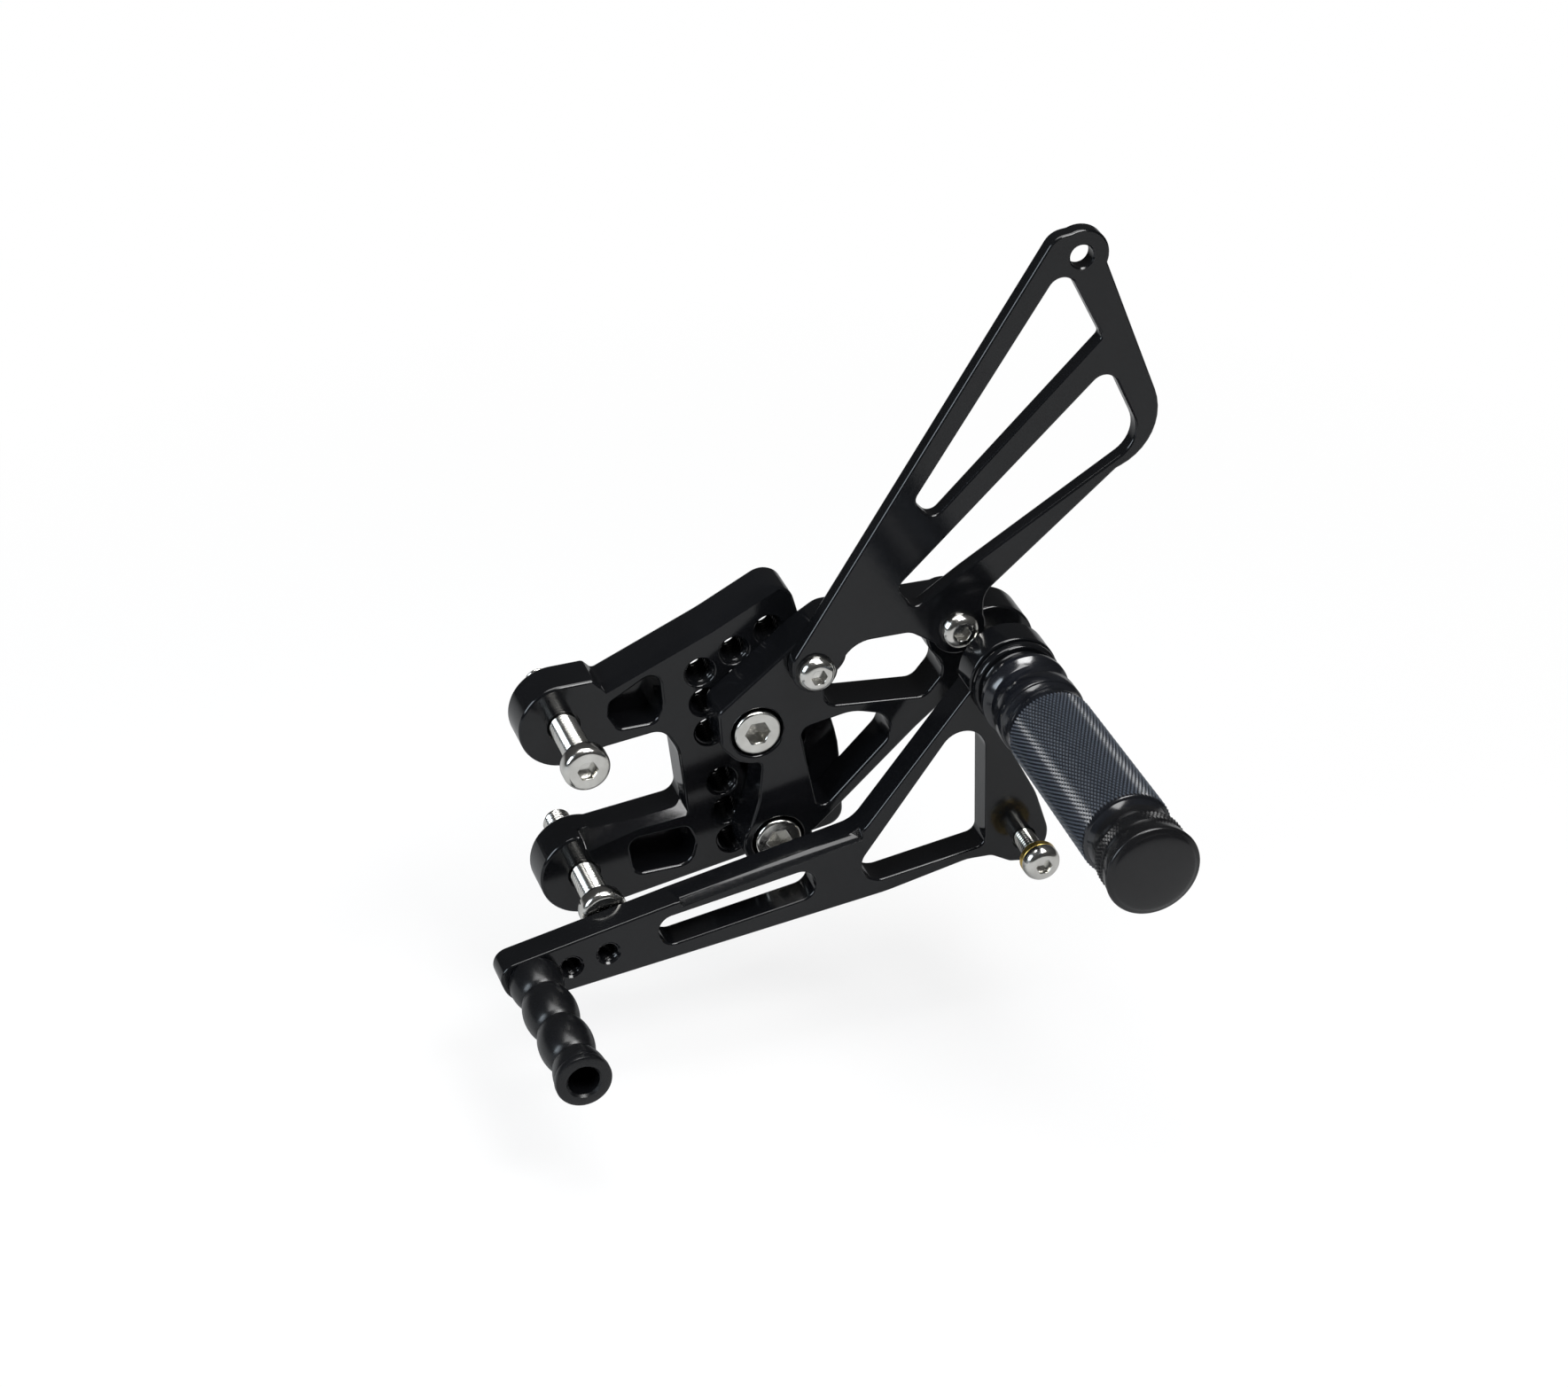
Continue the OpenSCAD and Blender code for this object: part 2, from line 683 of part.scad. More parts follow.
module toe_peg_screw() {
    color(STEEL)
        at(toe, lever_in)
            mirror([0, 0, 1])
                button_bolt(lever_t + 9);
}

link_washer_t = 2;

module link_bolt() {
    color(STEEL)
        at(link, lever_out + link_free + link_washer_t)
            button_bolt(lever_t + link_free + link_washer_t - 1);
}

module link_washer() {
    color(BRASS)
        ring(link, lever_out + link_free, button_r, m6_r + sleeve_play, link_washer_t);
}

frame_bracket();
frame_bolt(upper_bolt, bracket_t + upper_bolt_out);  // frame_bolt_upper
frame_bolt(lower_bolt, bracket_t + lower_bolt_out);  // frame_bolt_lower
carrier_plate();
carrier_bolt(carrier_a);  // carrier_bolt_upper
carrier_bolt(carrier_b);  // carrier_bolt_lower
heel_guard();
heel_guard_bolts();
spacer_sleeve();
bearing_inner_ring();
peg_base();
peg_grip();
peg_end_cap();
peg_bolt();
peg_washer();
shift_lever();
bearing_outer_ring();
bearing_balls();
bearing_cage();
bearing_shields();
circlip();
toe_peg();
toe_peg_screw();
link_bolt();
link_washer();
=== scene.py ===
import json
import math

import bmesh
import bpy
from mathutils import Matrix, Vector


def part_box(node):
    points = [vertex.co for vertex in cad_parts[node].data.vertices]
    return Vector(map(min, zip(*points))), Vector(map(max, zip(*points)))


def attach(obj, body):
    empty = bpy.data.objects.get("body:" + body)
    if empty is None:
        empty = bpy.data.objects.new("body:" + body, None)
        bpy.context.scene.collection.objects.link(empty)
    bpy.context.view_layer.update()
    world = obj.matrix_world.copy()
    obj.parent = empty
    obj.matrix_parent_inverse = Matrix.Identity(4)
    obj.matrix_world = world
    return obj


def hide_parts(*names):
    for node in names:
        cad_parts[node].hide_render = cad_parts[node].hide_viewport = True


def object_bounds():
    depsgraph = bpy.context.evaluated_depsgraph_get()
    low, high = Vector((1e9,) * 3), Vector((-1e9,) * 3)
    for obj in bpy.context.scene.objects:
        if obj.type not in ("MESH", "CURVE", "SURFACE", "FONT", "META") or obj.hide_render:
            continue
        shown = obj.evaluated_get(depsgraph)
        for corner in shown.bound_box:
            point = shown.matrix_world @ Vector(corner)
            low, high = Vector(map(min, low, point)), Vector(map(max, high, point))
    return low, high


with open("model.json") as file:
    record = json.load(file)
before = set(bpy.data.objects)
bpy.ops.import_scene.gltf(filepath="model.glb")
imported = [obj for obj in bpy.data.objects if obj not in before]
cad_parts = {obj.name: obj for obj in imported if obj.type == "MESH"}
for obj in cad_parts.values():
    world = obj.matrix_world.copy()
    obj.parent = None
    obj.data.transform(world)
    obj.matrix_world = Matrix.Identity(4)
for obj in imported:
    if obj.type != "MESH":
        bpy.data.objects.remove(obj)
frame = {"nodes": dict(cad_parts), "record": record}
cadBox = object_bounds()
scene = bpy.context.scene
record = frame["record"]
bodyOf = {node: body for body, nodes in record["behaviour"]["bodies"].items() for node in nodes}
slotOf = {part["node"]: part["material_slot"] for part in record["subparts"]}
mm = 0.001
print("frame loaded:", len(frame["nodes"]), "nodes")


def reach(node):  # how far outboard it starts and ends, and its middle in the side view
    low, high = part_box(node)
    return -high.y, -low.y, ((low + high) / 2).xz


noiseSpan = (0.3, 0.7)  # nearly all of a noise texture's values lie in it
noiseDetail = {"cloud": 3, "grain": 2}
mixShare, mixFirst, mixSecond, mixResult = 0, 6, 7, 2  # the colour sockets of a Mix node


def noise(nodes, links, scale, detail, stretch=(1, 1, 1)):
    coords = nodes.new("ShaderNodeTexCoord")
    mapping = nodes.new("ShaderNodeMapping")
    texture = nodes.new("ShaderNodeTexNoise")
    mapping.inputs["Scale"].default_value = stretch
    texture.inputs["Scale"].default_value = scale
    texture.inputs["Detail"].default_value = detail
    links.new(coords.outputs["Object"], mapping.inputs["Vector"])
    links.new(mapping.outputs["Vector"], texture.inputs["Vector"])
    return texture.outputs["Fac"]


def mapRange(nodes, links, value, fromSpan, toSpan):
    node = nodes.new("ShaderNodeMapRange")
    node.inputs["From Min"].default_value, node.inputs["From Max"].default_value = fromSpan
    node.inputs["To Min"].default_value, node.inputs["To Max"].default_value = toSpan
    links.new(value, node.inputs["Value"])
    return node.outputs["Result"]


def painted(nodes, layer):  # reads 0 on a mesh that has no such layer
    node = nodes.new("ShaderNodeAttribute")
    node.attribute_name = layer
    return node.outputs["Fac"]


def finish(name, look):
    mat = bpy.data.materials.new(name)
    mat.use_nodes = True
    nodes, links = mat.node_tree.nodes, mat.node_tree.links
    shader = nodes["Principled BSDF"]
    for socket, value in look["fixed"].items():
        shader.inputs[socket].default_value = value

    tone = nodes.new("ShaderNodeValToRGB")
    colours = look["dark"], look["light"]
    for stop, position, colour in zip(tone.color_ramp.elements, noiseSpan, colours):
        stop.position, stop.color = position, (*colour, 1)
    cloud = noise(nodes, links, look["cloudScale"], noiseDetail["cloud"])
    links.new(cloud, tone.inputs["Fac"])
    crestHighlight = nodes.new("ShaderNodeMix")  # painted highlight: the points of a knurl are given a paler colour, in place of the glints they catch
    crestHighlight.data_type = "RGBA"
    crestHighlight.inputs[mixSecond].default_value = (*look.get("crest", look["light"]), 1)
    links.new(painted(nodes, "crest"), crestHighlight.inputs[mixShare])
    links.new(tone.outputs["Color"], crestHighlight.inputs[mixFirst])
    links.new(crestHighlight.outputs[mixResult], shader.inputs["Base Color"])

    grain = noise(nodes, links, look["grainScale"], noiseDetail["grain"], look["grainStretch"])
    dull = nodes.new("ShaderNodeMath")  # a turned piece may be duller than the plates
    links.new(mapRange(nodes, links, grain, noiseSpan, look["rough"]), dull.inputs[0])
    links.new(painted(nodes, "brushed"), dull.inputs[1])
    links.new(dull.outputs[0], shader.inputs["Roughness"])

    bump = nodes.new("ShaderNodeBump")
    bump.inputs["Strength"].default_value = look["bump"]
    bump.inputs["Distance"].default_value = look["bumpDepth"]
    links.new(grain, bump.inputs["Height"])
    links.new(bump.outputs["Normal"], shader.inputs["Normal"])
    return mat


finishes = {
    "black_anodised": finish("blackAnodised", {
        "fixed": {"Metallic": 0.0, "Specular IOR Level": 0.45},
        "dark": (0.0035, 0.0038, 0.0045), "light": (0.0055, 0.0058, 0.0068), "cloudScale": 45,
        "rough": (0.10, 0.15), "grainScale": 1500, "grainStretch": (1, 1, 1),
        "bump": 0.012, "bumpDepth": 0.00004}),
    "knurled_black": finish("knurledBlack", {
        "fixed": {"Metallic": 0.0, "Specular IOR Level": 0.8},
        "dark": (0.004, 0.0045, 0.006), "light": (0.008, 0.009, 0.012), "cloudScale": 160,
        # crest: a painted highlight, the paler colour laid on the points of the knurl
        "crest": (0.085, 0.10, 0.125),
        "rough": (0.13, 0.20), "grainScale": 2200, "grainStretch": (1, 1, 1),
        "bump": 0.05, "bumpDepth": 0.00005}),
    "satin_black": finish("satinBlack", {
        "fixed": {"Metallic": 0.0, "Specular IOR Level": 0.5},
        "dark": (0.005, 0.005, 0.0055), "light": (0.008, 0.008, 0.009), "cloudScale": 70,
        "rough": (0.20, 0.27), "grainScale": 2600, "grainStretch": (1, 1, 1),
        "bump": 0.05, "bumpDepth": 0.00006}),
    "stainless": finish("stainless", {
        "fixed": {"Metallic": 1.0},
        "dark": (0.68, 0.67, 0.63), "light": (0.86, 0.85, 0.81), "cloudScale": 220,
        "rough": (0.12, 0.22), "grainScale": 900, "grainStretch": (1, 7, 1),
        "bump": 0.08, "bumpDepth": 0.00004}),
    "brass": finish("brass", {
        "fixed": {"Metallic": 1.0},
        "dark": (0.78, 0.52, 0.11), "light": (0.95, 0.70, 0.22), "cloudScale": 240,
        "rough": (0.24, 0.34), "grainScale": 900, "grainStretch": (1, 7, 1),
        "bump": 0.08, "bumpDepth": 0.00004}),
}
print("finishes:", len(finishes))


# a CAD node is dressed as a merged copy of its mesh, with its sharp edges broken; lengths are
# in metres and angles in degrees
copySettings = {"weld": 0.00002, "flat": 0.4, "sharp": 62, "smooth": 32, "segments": 2,
                "fin": 172, "finWidth": 0.0003, "faceWeight": 100}


def asMesh(name, bm):
    mesh = bpy.data.meshes.new(name)
    bm.to_mesh(mesh)
    bm.free()
    return mesh


def asObject(name, bm, slot):
    mesh = asMesh(name, bm)
    obj = bpy.data.objects.new(name, mesh)
    scene.collection.objects.link(obj)
    mesh.materials.clear()
    mesh.materials.append(finishes[slot])
    return obj


def sharpEdges(bm, degrees):
    limit = math.radians(degrees)
    return [edge for edge in bm.edges
            if edge.is_manifold and edge.is_convex and edge.calc_face_angle(0) > limit]


def dissolveFlat(bm):
    bmesh.ops.dissolve_limit(bm, angle_limit=math.radians(copySettings["flat"]),
                             verts=bm.verts[:], edges=bm.edges[:])


def foldFins(bm):  # a sliver left between two meeting cuts goes back into its root
    fins = sharpEdges(bm, copySettings["fin"])
    for tip, low in [sorted(edge.verts, key=lambda v: len(v.link_edges)) for edge in fins]:
        roots = sorted((e.other_vert(tip) for e in tip.link_edges if e.other_vert(tip) is not low),
                       key=lambda v: (v.co - tip.co).length)
        if len(roots) == 2 and (roots[0].co - roots[1].co).length < copySettings["finWidth"]:
            bmesh.ops.pointmerge(bm, verts=[tip, *roots], merge_co=roots[0].co)


def weldedCopy(node):
    bm = bmesh.new()
    bm.from_mesh(frame["nodes"][node].data)
    bmesh.ops.remove_doubles(bm, verts=bm.verts, dist=copySettings["weld"])
    dissolveFlat(bm)
    foldFins(bm)
    dissolveFlat(bm)
    return bm


def markEdges(bm, skip=()):
    weight = bm.edges.layers.float.new("bevel_weight_edge")
    for edge in sharpEdges(bm, copySettings["sharp"]):
        middle = (edge.verts[0].co + edge.verts[1].co) / 2
        if not any(math.hypot(middle.x - x, middle.z - z) < r for x, z, r in skip):
            edge[weight] = 1


def shade(obj):
    for polygon in obj.data.polygons:
        polygon.use_smooth = True
    obj.data.set_sharp_from_angle(angle=math.radians(copySettings["smooth"]))


def evaluatedMesh(obj):
    graph = bpy.context.evaluated_depsgraph_get()
    return bpy.data.meshes.new_from_object(obj.evaluated_get(graph))


def breakEdges(obj, width):
    shade(obj)
    bevel = obj.modifiers.new("edges", "BEVEL")
    bevel.limit_method = "WEIGHT"
    bevel.width = width
    bevel.segments = copySettings["segments"]
    bevel.use_clamp_overlap = False
    bevel.loop_slide = False  # a corner slid along a long flat edge would run far off
    evenOut = obj.modifiers.new("faces", "WEIGHTED_NORMAL")  # keeps the broad faces flat to the eye
    evenOut.keep_sharp = True
    evenOut.weight = copySettings["faceWeight"]
    made = evaluatedMesh(obj)
    obj.modifiers.clear()
    obj.data = made


def place(obj, node):
    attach(obj, bodyOf[node])
    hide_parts(node)


def camelCase(node):
    first, *rest = node.split("_")
    return first + "".join(word.capitalize() for word in rest)


def dressNode(node, width, skip=()):
    bm = weldedCopy(node)
    markEdges(bm, skip)
    obj = asObject(camelCase(node), bm, slotOf[node])
    if width > 0:
        breakEdges(obj, width)
    else:
        shade(obj)
    place(obj, node)


def finishPiece(bm, node):
    obj = asObject(camelCase(node), bm, slotOf[node])
    shade(obj)
    place(obj, node)
    print(obj.name + ":", len(obj.data.polygons), "faces")


hubPoint = reach("peg_grip")[2]
bearingSeat = (*hubPoint, 9.3 * mm)  # the edges within it hold the bearing and stay crisp
plates = {"frame_bracket": 0.7, "carrier_plate": 0.6, "heel_guard": 0.55, "shift_lever": 0.45}
smallParts = {  # widths of the broken edges in mm, as above
    "carrier_bolt_upper": 0.25, "carrier_bolt_lower": 0.25, "heel_guard_bolts": 0.12,
    "peg_bolt": 0.25, "toe_peg_screw": 0.12, "link_washer": 0.2, "peg_washer": 0.2,
    "spacer_sleeve": 0.15, "peg_base": 0.2, "bearing_inner_ring": 0.1, "bearing_outer_ring": 0.1,
    "bearing_balls": 0.0, "bearing_cage": 0.0, "bearing_shields": 0.0, "circlip": 0.12}
for node, width in plates.items():
    dressNode(node, width * mm, [bearingSeat])
for node, width in smallParts.items():
    dressNode(node, width * mm)
print("plates and small parts dressed")


# knurls and threads are grids wrapped round an axis, by Geometry Nodes
wrapSockets = {"Axis X": "Float", "Axis Z": "Float", "Start": "Float", "Length": "Float",
               "Root Radius": "Float", "Tip Radius": "Float", "Relief": "Float",
               "Columns": "Int", "Rows": "Int", "Pitch": "Float", "Material": "Material"}
wrapSeam = 0.000001  # the grid's two sides are merged within this distance


def newTree(name, sockets):
    tree = bpy.data.node_groups.new(name, "GeometryNodeTree")
    tree.interface.new_socket("Geometry", in_out="OUTPUT", socket_type="NodeSocketGeometry")
    for label, kind in sockets.items():
        tree.interface.new_socket(label, in_out="INPUT", socket_type="NodeSocket" + kind)
    return tree, tree.nodes.new("NodeGroupInput").outputs, tree.nodes.new("NodeGroupOutput")


def calculator(tree):
    def calc(operation, *values):
        node = tree.nodes.new("ShaderNodeMath")
        node.operation = operation
        for k, value in enumerate(values):
            if isinstance(value, (int, float)):
                node.inputs[k].default_value = value
            else:
                tree.links.new(value, node.inputs[k])
        return node.outputs[0]
    return calc


def diamonds(calc, given, at):  # every second point of the grid is a crest
    return calc("MODULO", calc("ADD", at["column"], at["row"]), 2)


def spiral(calc, given, at):  # a V that climbs one pitch for each turn
    turn = calc("ADD", calc("DIVIDE", at["out"], given["Pitch"]), at["across"])
    swing = calc("SUBTRACT", calc("MULTIPLY", calc("FLOORED_MODULO", turn, 1), 2), 1)
    return calc("ABSOLUTE", swing)


def wrapTree(name, pattern):
    tree, given, output = newTree(name, wrapSockets)
    nodes, links, calc = tree.nodes, tree.links, calculator(tree)
    grid = nodes.new("GeometryNodeMeshGrid")
    for side, cells in (("X", "Columns"), ("Y", "Rows")):
        grid.inputs["Size " + side].default_value = 1
        links.new(calc("ADD", given[cells], 1), grid.inputs["Vertices " + side])
    here = nodes.new("GeometryNodeInputPosition")
    split = nodes.new("ShaderNodeSeparateXYZ")
    links.new(here.outputs[0], split.inputs[0])
    across, along = (calc("ADD", split.outputs[side], 0.5) for side in ("X", "Y"))
    row = calc("ROUND", calc("MULTIPLY", along, given["Rows"]))
    at = {"across": across, "row": row,
          "column": calc("ROUND", calc("MULTIPLY", across, given["Columns"])),
          "out": calc("MULTIPLY_ADD", along, given["Length"], given["Start"])}
    # the pattern is let down to the root at the first and the last row
    fromEnd = calc("MINIMUM", row, calc("SUBTRACT", given["Rows"], row))
    height = calc("MULTIPLY", pattern(calc, given, at), calc("MINIMUM", fromEnd, 1))
    taper = calc("MULTIPLY", calc("SUBTRACT", given["Tip Radius"], given["Root Radius"]), along)
    crest = calc("ADD", given["Root Radius"], taper)
    depth = calc("MULTIPLY", calc("SUBTRACT", 1, height), given["Relief"])
    radius = calc("SUBTRACT", crest, depth)
    angle = calc("MULTIPLY", across, 2 * math.pi)
    joined = nodes.new("ShaderNodeCombineXYZ")
    for axis, wave in (("X", "COSINE"), ("Z", "SINE")):
        spot = calc("MULTIPLY_ADD", calc(wave, angle), radius, given["Axis " + axis])
        links.new(spot, joined.inputs[axis])
    links.new(calc("MULTIPLY", at["out"], -1), joined.inputs["Y"])
    moved = nodes.new("GeometryNodeSetPosition")
    seam = nodes.new("GeometryNodeMergeByDistance")
    seam.inputs["Distance"].default_value = wrapSeam
    cut = nodes.new("GeometryNodeTriangulate")
    real = nodes.new("GeometryNodeRealizeInstances")
    coat = nodes.new("GeometryNodeSetMaterial")
    links.new(grid.outputs["Mesh"], moved.inputs["Geometry"])
    links.new(joined.outputs["Vector"], moved.inputs["Position"])
    links.new(moved.outputs["Geometry"], seam.inputs["Geometry"])
    links.new(seam.outputs["Geometry"], cut.inputs["Mesh"])
    links.new(cut.outputs["Mesh"], real.inputs["Geometry"])
    links.new(real.outputs["Geometry"], coat.inputs["Geometry"])
    links.new(given["Material"], coat.inputs["Material"])
    links.new(coat.outputs["Geometry"], output.inputs["Geometry"])
    return tree


knurlTree = wrapTree("knurlWrap", diamonds)
threadTree = wrapTree("threadWrap", spiral)


def wrapped(tree, spot, slot, values):
    seed = bpy.data.objects.new("seed", bpy.data.meshes.new("seed"))
    scene.collection.objects.link(seed)
    modifier = seed.modifiers.new("wrap", "NODES")
    modifier.node_group = tree
    values = {**values, "Axis X": spot.x, "Axis Z": spot.y, "Material": finishes[slot]}
    for item in tree.interface.items_tree:
        if item.item_type == "SOCKET" and item.in_out == "INPUT" and item.name in values:
            modifier[item.identifier] = values[item.name]
    made = evaluatedMesh(seed)
    bpy.data.objects.remove(seed)
    return made


# the foot peg's grip and cap, and the toe peg, are turned from profiles of (out, radius); a list
# of (out, drop) pairs gives small steps in mm, from a place and below a radius
knurlSeam, turnedSeam = 0.000004, 0.000002
gripPart = {
    "diamonds": 70, "rows": 49, "relief": 0.46 * mm,
    "ringRadius": 12.15 * mm, "neckRadius": 10.3 * mm, "blockRadius": 11.9 * mm,
    "rootRadius": 11.8 * mm, "tipRadius": 12.3 * mm, "rootLength": 20 * mm,
    "knurlLength": 53.5 * mm, "grooveLength": 7.5 * mm,  # the cap has the groove's outer part
    "grooveShoulder": 1.0 * mm, "grooveDepth": 0.9 * mm, "grooveStart": 0.5 * mm, "lead": 0.3 * mm,
    "grooveSteps": 6, "boltBore": 4 * mm, "capBore": 7 * mm, "boltDepth": 30 * mm, "web": 3 * mm,
    "ring": ((0, 0.8), (0.25, 0.25), (0.8, 0), (2.2, 0), (2.5, 0.3)),
    "neck": ((3.7, -0.15), (4.1, 0), (7.9, 0), (8.3, -0.15)),
    "block": ((9.4, 0.25), (9.8, 0), (14.3, 0), (14.6, 0.15)),
    "hollow": {"at": 14.8 * mm, "length": 4 * mm, "depth": 0.55 * mm, "steps": 12}}


def turned(bm, profile, columns, centre):
    rings = []
    for out, radius in profile:
        if radius == 0:
            rings.append([bm.verts.new((centre.x, -out, centre.y))])
            continue
        angles = [2 * math.pi * k / columns for k in range(columns)]
        rings.append([bm.verts.new((centre.x + radius * math.cos(angle), -out,
                                    centre.y + radius * math.sin(angle))) for angle in angles])
    for near, far in zip(rings, rings[1:]):
        for k in range(columns):
            n = (k + 1) % columns
            corners = [near[k % len(near)], near[n % len(near)],
                       far[n % len(far)], far[k % len(far)]]
            bm.faces.new(list(dict.fromkeys(corners)))


def stepped(at, radius, pairs):
    return [(at + out * mm, radius - drop * mm) for out, drop in pairs]


def between(first, last, steps):
    return [first + (last - first) * i / steps for i in range(steps + 1)]


def closeSeams(bm, gap):
    bmesh.ops.remove_doubles(bm, verts=bm.verts, dist=gap)
    bmesh.ops.recalc_face_normals(bm, faces=bm.faces)


def knurl(start, length, rootRadius, tipRadius, relief, rows, slot):
    return wrapped(knurlTree, hubPoint, slot, {
        "Start": start, "Length": length, "Root Radius": rootRadius, "Tip Radius": tipRadius,
        "Relief": relief, "Rows": rows, "Columns": 2 * gripPart["diamonds"]})


def knurlEnd():
    return reach("peg_grip")[0] + gripPart["rootLength"] + gripPart["knurlLength"]


def grooveRadius(out):  # the groove between the knurl and the cap's band
    g = gripPart
    share = min(1, max(0, (out - knurlEnd()) / g["grooveLength"]))
    return g["tipRadius"] - g["grooveShoulder"] - g["grooveDepth"] * math.sin(math.pi * share)


def paintCrestHighlight(bm, knurlIn, knurlOut):  # 1 on the points of the diamonds, 0 in the valleys; the mask for the painted highlight on the knurl's points
    g = gripPart
    crest = bm.verts.layers.float.new("crest")
    for vert in bm.verts:
        out = -vert.co.y
        radius = math.hypot(vert.co.x - hubPoint.x, vert.co.z - hubPoint.y)
        if knurlIn < out < knurlOut:
            share = (out - knurlIn) / g["knurlLength"]
            top = g["rootRadius"] + (g["tipRadius"] - g["rootRadius"]) * share
            vert[crest] = max(0, 1 - (top - radius) / g["relief"])


def buildGrip():
    g = gripPart
    start, tip, centre = reach("peg_grip")
    knurlIn, knurlOut = start + g["rootLength"], knurlEnd()
    boltEnd = start + g["boltDepth"]
    webEnd = boltEnd + g["web"]
    valley, tipValley = g["rootRadius"] - g["relief"], g["tipRadius"] - g["relief"]
    hollow = g["hollow"]
    root = [(boltEnd, 0), (boltEnd, g["boltBore"]), (start, g["boltBore"])]
    for part in ("ring", "neck", "block"):
        root += stepped(start, g[part + "Radius"], g[part])
    for i in range(hollow["steps"] + 1):
        share = i / hollow["steps"]
        root.append((start + hollow["at"] + hollow["length"] * share,
                     valley - hollow["depth"] * math.sin(math.pi * share)))
    root += [(knurlIn - g["lead"], valley), (knurlIn, valley)]
    groove = [(knurlOut, tipValley), (knurlOut + g["lead"], tipValley - g["lead"])]
    outs = between(knurlOut + g["grooveStart"], tip, g["grooveSteps"])
    groove += [(out, grooveRadius(out)) for out in outs]
    end = [(tip, grooveRadius(tip)), (tip, g["capBore"]), (webEnd, g["capBore"]), (webEnd, 0)]
    bm = bmesh.new()
    for profile in (root, groove, end):
        turned(bm, profile, 2 * g["diamonds"], centre)
    bm.from_mesh(knurl(knurlIn, g["knurlLength"], g["rootRadius"], g["tipRadius"], g["relief"],
                       g["rows"], slotOf["peg_grip"]))
    closeSeams(bm, knurlSeam)
    paintCrestHighlight(bm, knurlIn, knurlOut)
    finishPiece(bm, "peg_grip")


capPart = {
    "bandRows": 4, "bandRelief": 0.36 * mm, "bandLength": 3.6 * mm, "bandDrop": 0.2 * mm,
    "bandShoulder": (-0.1, 0.15), "spigotSlope": 0.6 * mm,
    "grooveSteps": 12, "footRadius": 11.7 * mm, "foot": ((0.2, 0.2), (0.5, 0)),
    "rimAt": 2.3 * mm, "rim": ((-0.5, 0.08), (0, 0)),
    "edge": ((-0.5, 0.06), (-0.25, 0.25), (-0.05, 0.6)),
    "dome": 1.5 * mm, "domeRadius": 11.3 * mm, "domeSteps": range(85, 0, -5)}


def buildEndCap():  # the rest of the groove, the knurled band and the flared cap, with its spigot
    c, bore = capPart, gripPart["capBore"]
    low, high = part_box("peg_end_cap")
    spigot, tip = reach("peg_end_cap")[:2]
    rim = (high.x - low.x) / 2
    start = reach("peg_grip")[1]
    bandIn = knurlEnd() + gripPart["grooveLength"]
    bandOut = bandIn + c["bandLength"]
    bandRadius = gripPart["tipRadius"] - c["bandDrop"]
    valley = bandRadius - c["bandRelief"]
    edge = tip - c["dome"]
    inner = [(spigot, 0), (spigot, bore - c["spigotSlope"]), (spigot + c["spigotSlope"], bore),
             (start, bore)]
    outs = between(start, bandIn - gripPart["lead"], c["grooveSteps"])
    inner += [(out, grooveRadius(out)) for out in outs]
    inner += stepped(bandIn, valley, (c["bandShoulder"], (0, 0)))
    outer = [(bandOut, valley), *stepped(bandOut, c["footRadius"], c["foot"]),
             *stepped(tip - c["rimAt"], rim, c["rim"]), *stepped(edge, rim, c["edge"])]
    for angle in map(math.radians, c["domeSteps"]):
        outer.append((edge + c["dome"] * math.cos(angle), c["domeRadius"] * math.sin(angle)))
    outer.append((tip, 0))
    bm = bmesh.new()
    for profile in (inner, outer):
        turned(bm, profile, 2 * gripPart["diamonds"], hubPoint)
    bm.from_mesh(knurl(bandIn, c["bandLength"], bandRadius, bandRadius, c["bandRelief"],
                       c["bandRows"], slotOf["peg_end_cap"]))
    closeSeams(bm, knurlSeam)
    finishPiece(bm, "peg_end_cap")


toePart = {
    "bulges": 3, "bulgeLength": 14.8 * mm, "bulgeRadius": 7.35 * mm, "waistRadius": 5.2 * mm,
    "fullness": 0.6, "firstWaist": 8.6 * mm,  # the first bulge starts inside the lever's face
    "footLength": 0.4 * mm, "foot": ((0, 0.3), (0.2, 0.05)),
    "flangeRadius": 7.6 * mm, "flangeLength": 2.5 * mm, "flange": ((0, 0.35), (0.2, 0.1), (0.5, 0)),
    "end": ((-0.7, 0), (-0.3, 0.15), (0, 0.7)), "rim": 4.85 * mm, "rimDepth": 0.6 * mm,
    "bore": 4.25 * mm, "boreDepth": 12 * mm, "screwBore": 3.0 * mm, "screwDepth": 12 * mm,
    "columns": 96, "steps": 24, "brushed": 0.17}


def bulgeAt(share):  # from one waist, at 0, to the next, at 1
    t = toePart
    swell = t["bulgeRadius"] - t["waistRadius"]
    return t["waistRadius"] + swell * math.sin(math.pi * share) ** t["fullness"]


def buildToePeg():
    t = toePart
    start, tip, spot = reach("toe_peg")
    flange = tip - t["flangeLength"]
    screwEnd, boreEnd = start + t["screwDepth"], tip - t["boreDepth"]
    steps, half = t["steps"], t["steps"] // 2
    profile = [(screwEnd, 0), (screwEnd, t["screwBore"]), (start, t["screwBore"]),
               *stepped(start, t["bulgeRadius"], t["foot"])]
    waist = start + t["firstWaist"] - t["bulgeLength"]
    for n in range(t["bulges"]):
        for i in range(steps):
            out = waist + t["bulgeLength"] * i / steps
            if out > start + t["footLength"]:
                profile.append((out, bulgeAt(i / steps)))
        waist += t["bulgeLength"]
    profile += [(waist + (flange - waist) * i / half, bulgeAt(i / steps)) for i in range(half)]
    profile += stepped(flange, t["flangeRadius"], t["flange"])
    profile += stepped(tip, t["flangeRadius"], t["end"])
    profile += [(tip, t["rim"]), (tip - t["rimDepth"], t["bore"]), (boreEnd, t["bore"]),
                (boreEnd, 0)]
    bm = bmesh.new()
    turned(bm, profile, t["columns"], spot)
    closeSeams(bm, turnedSeam)
    brushed = bm.verts.layers.float.new("brushed")
    for vert in bm.verts:
        vert[brushed] = t["brushed"]
    finishPiece(bm, "toe_peg")


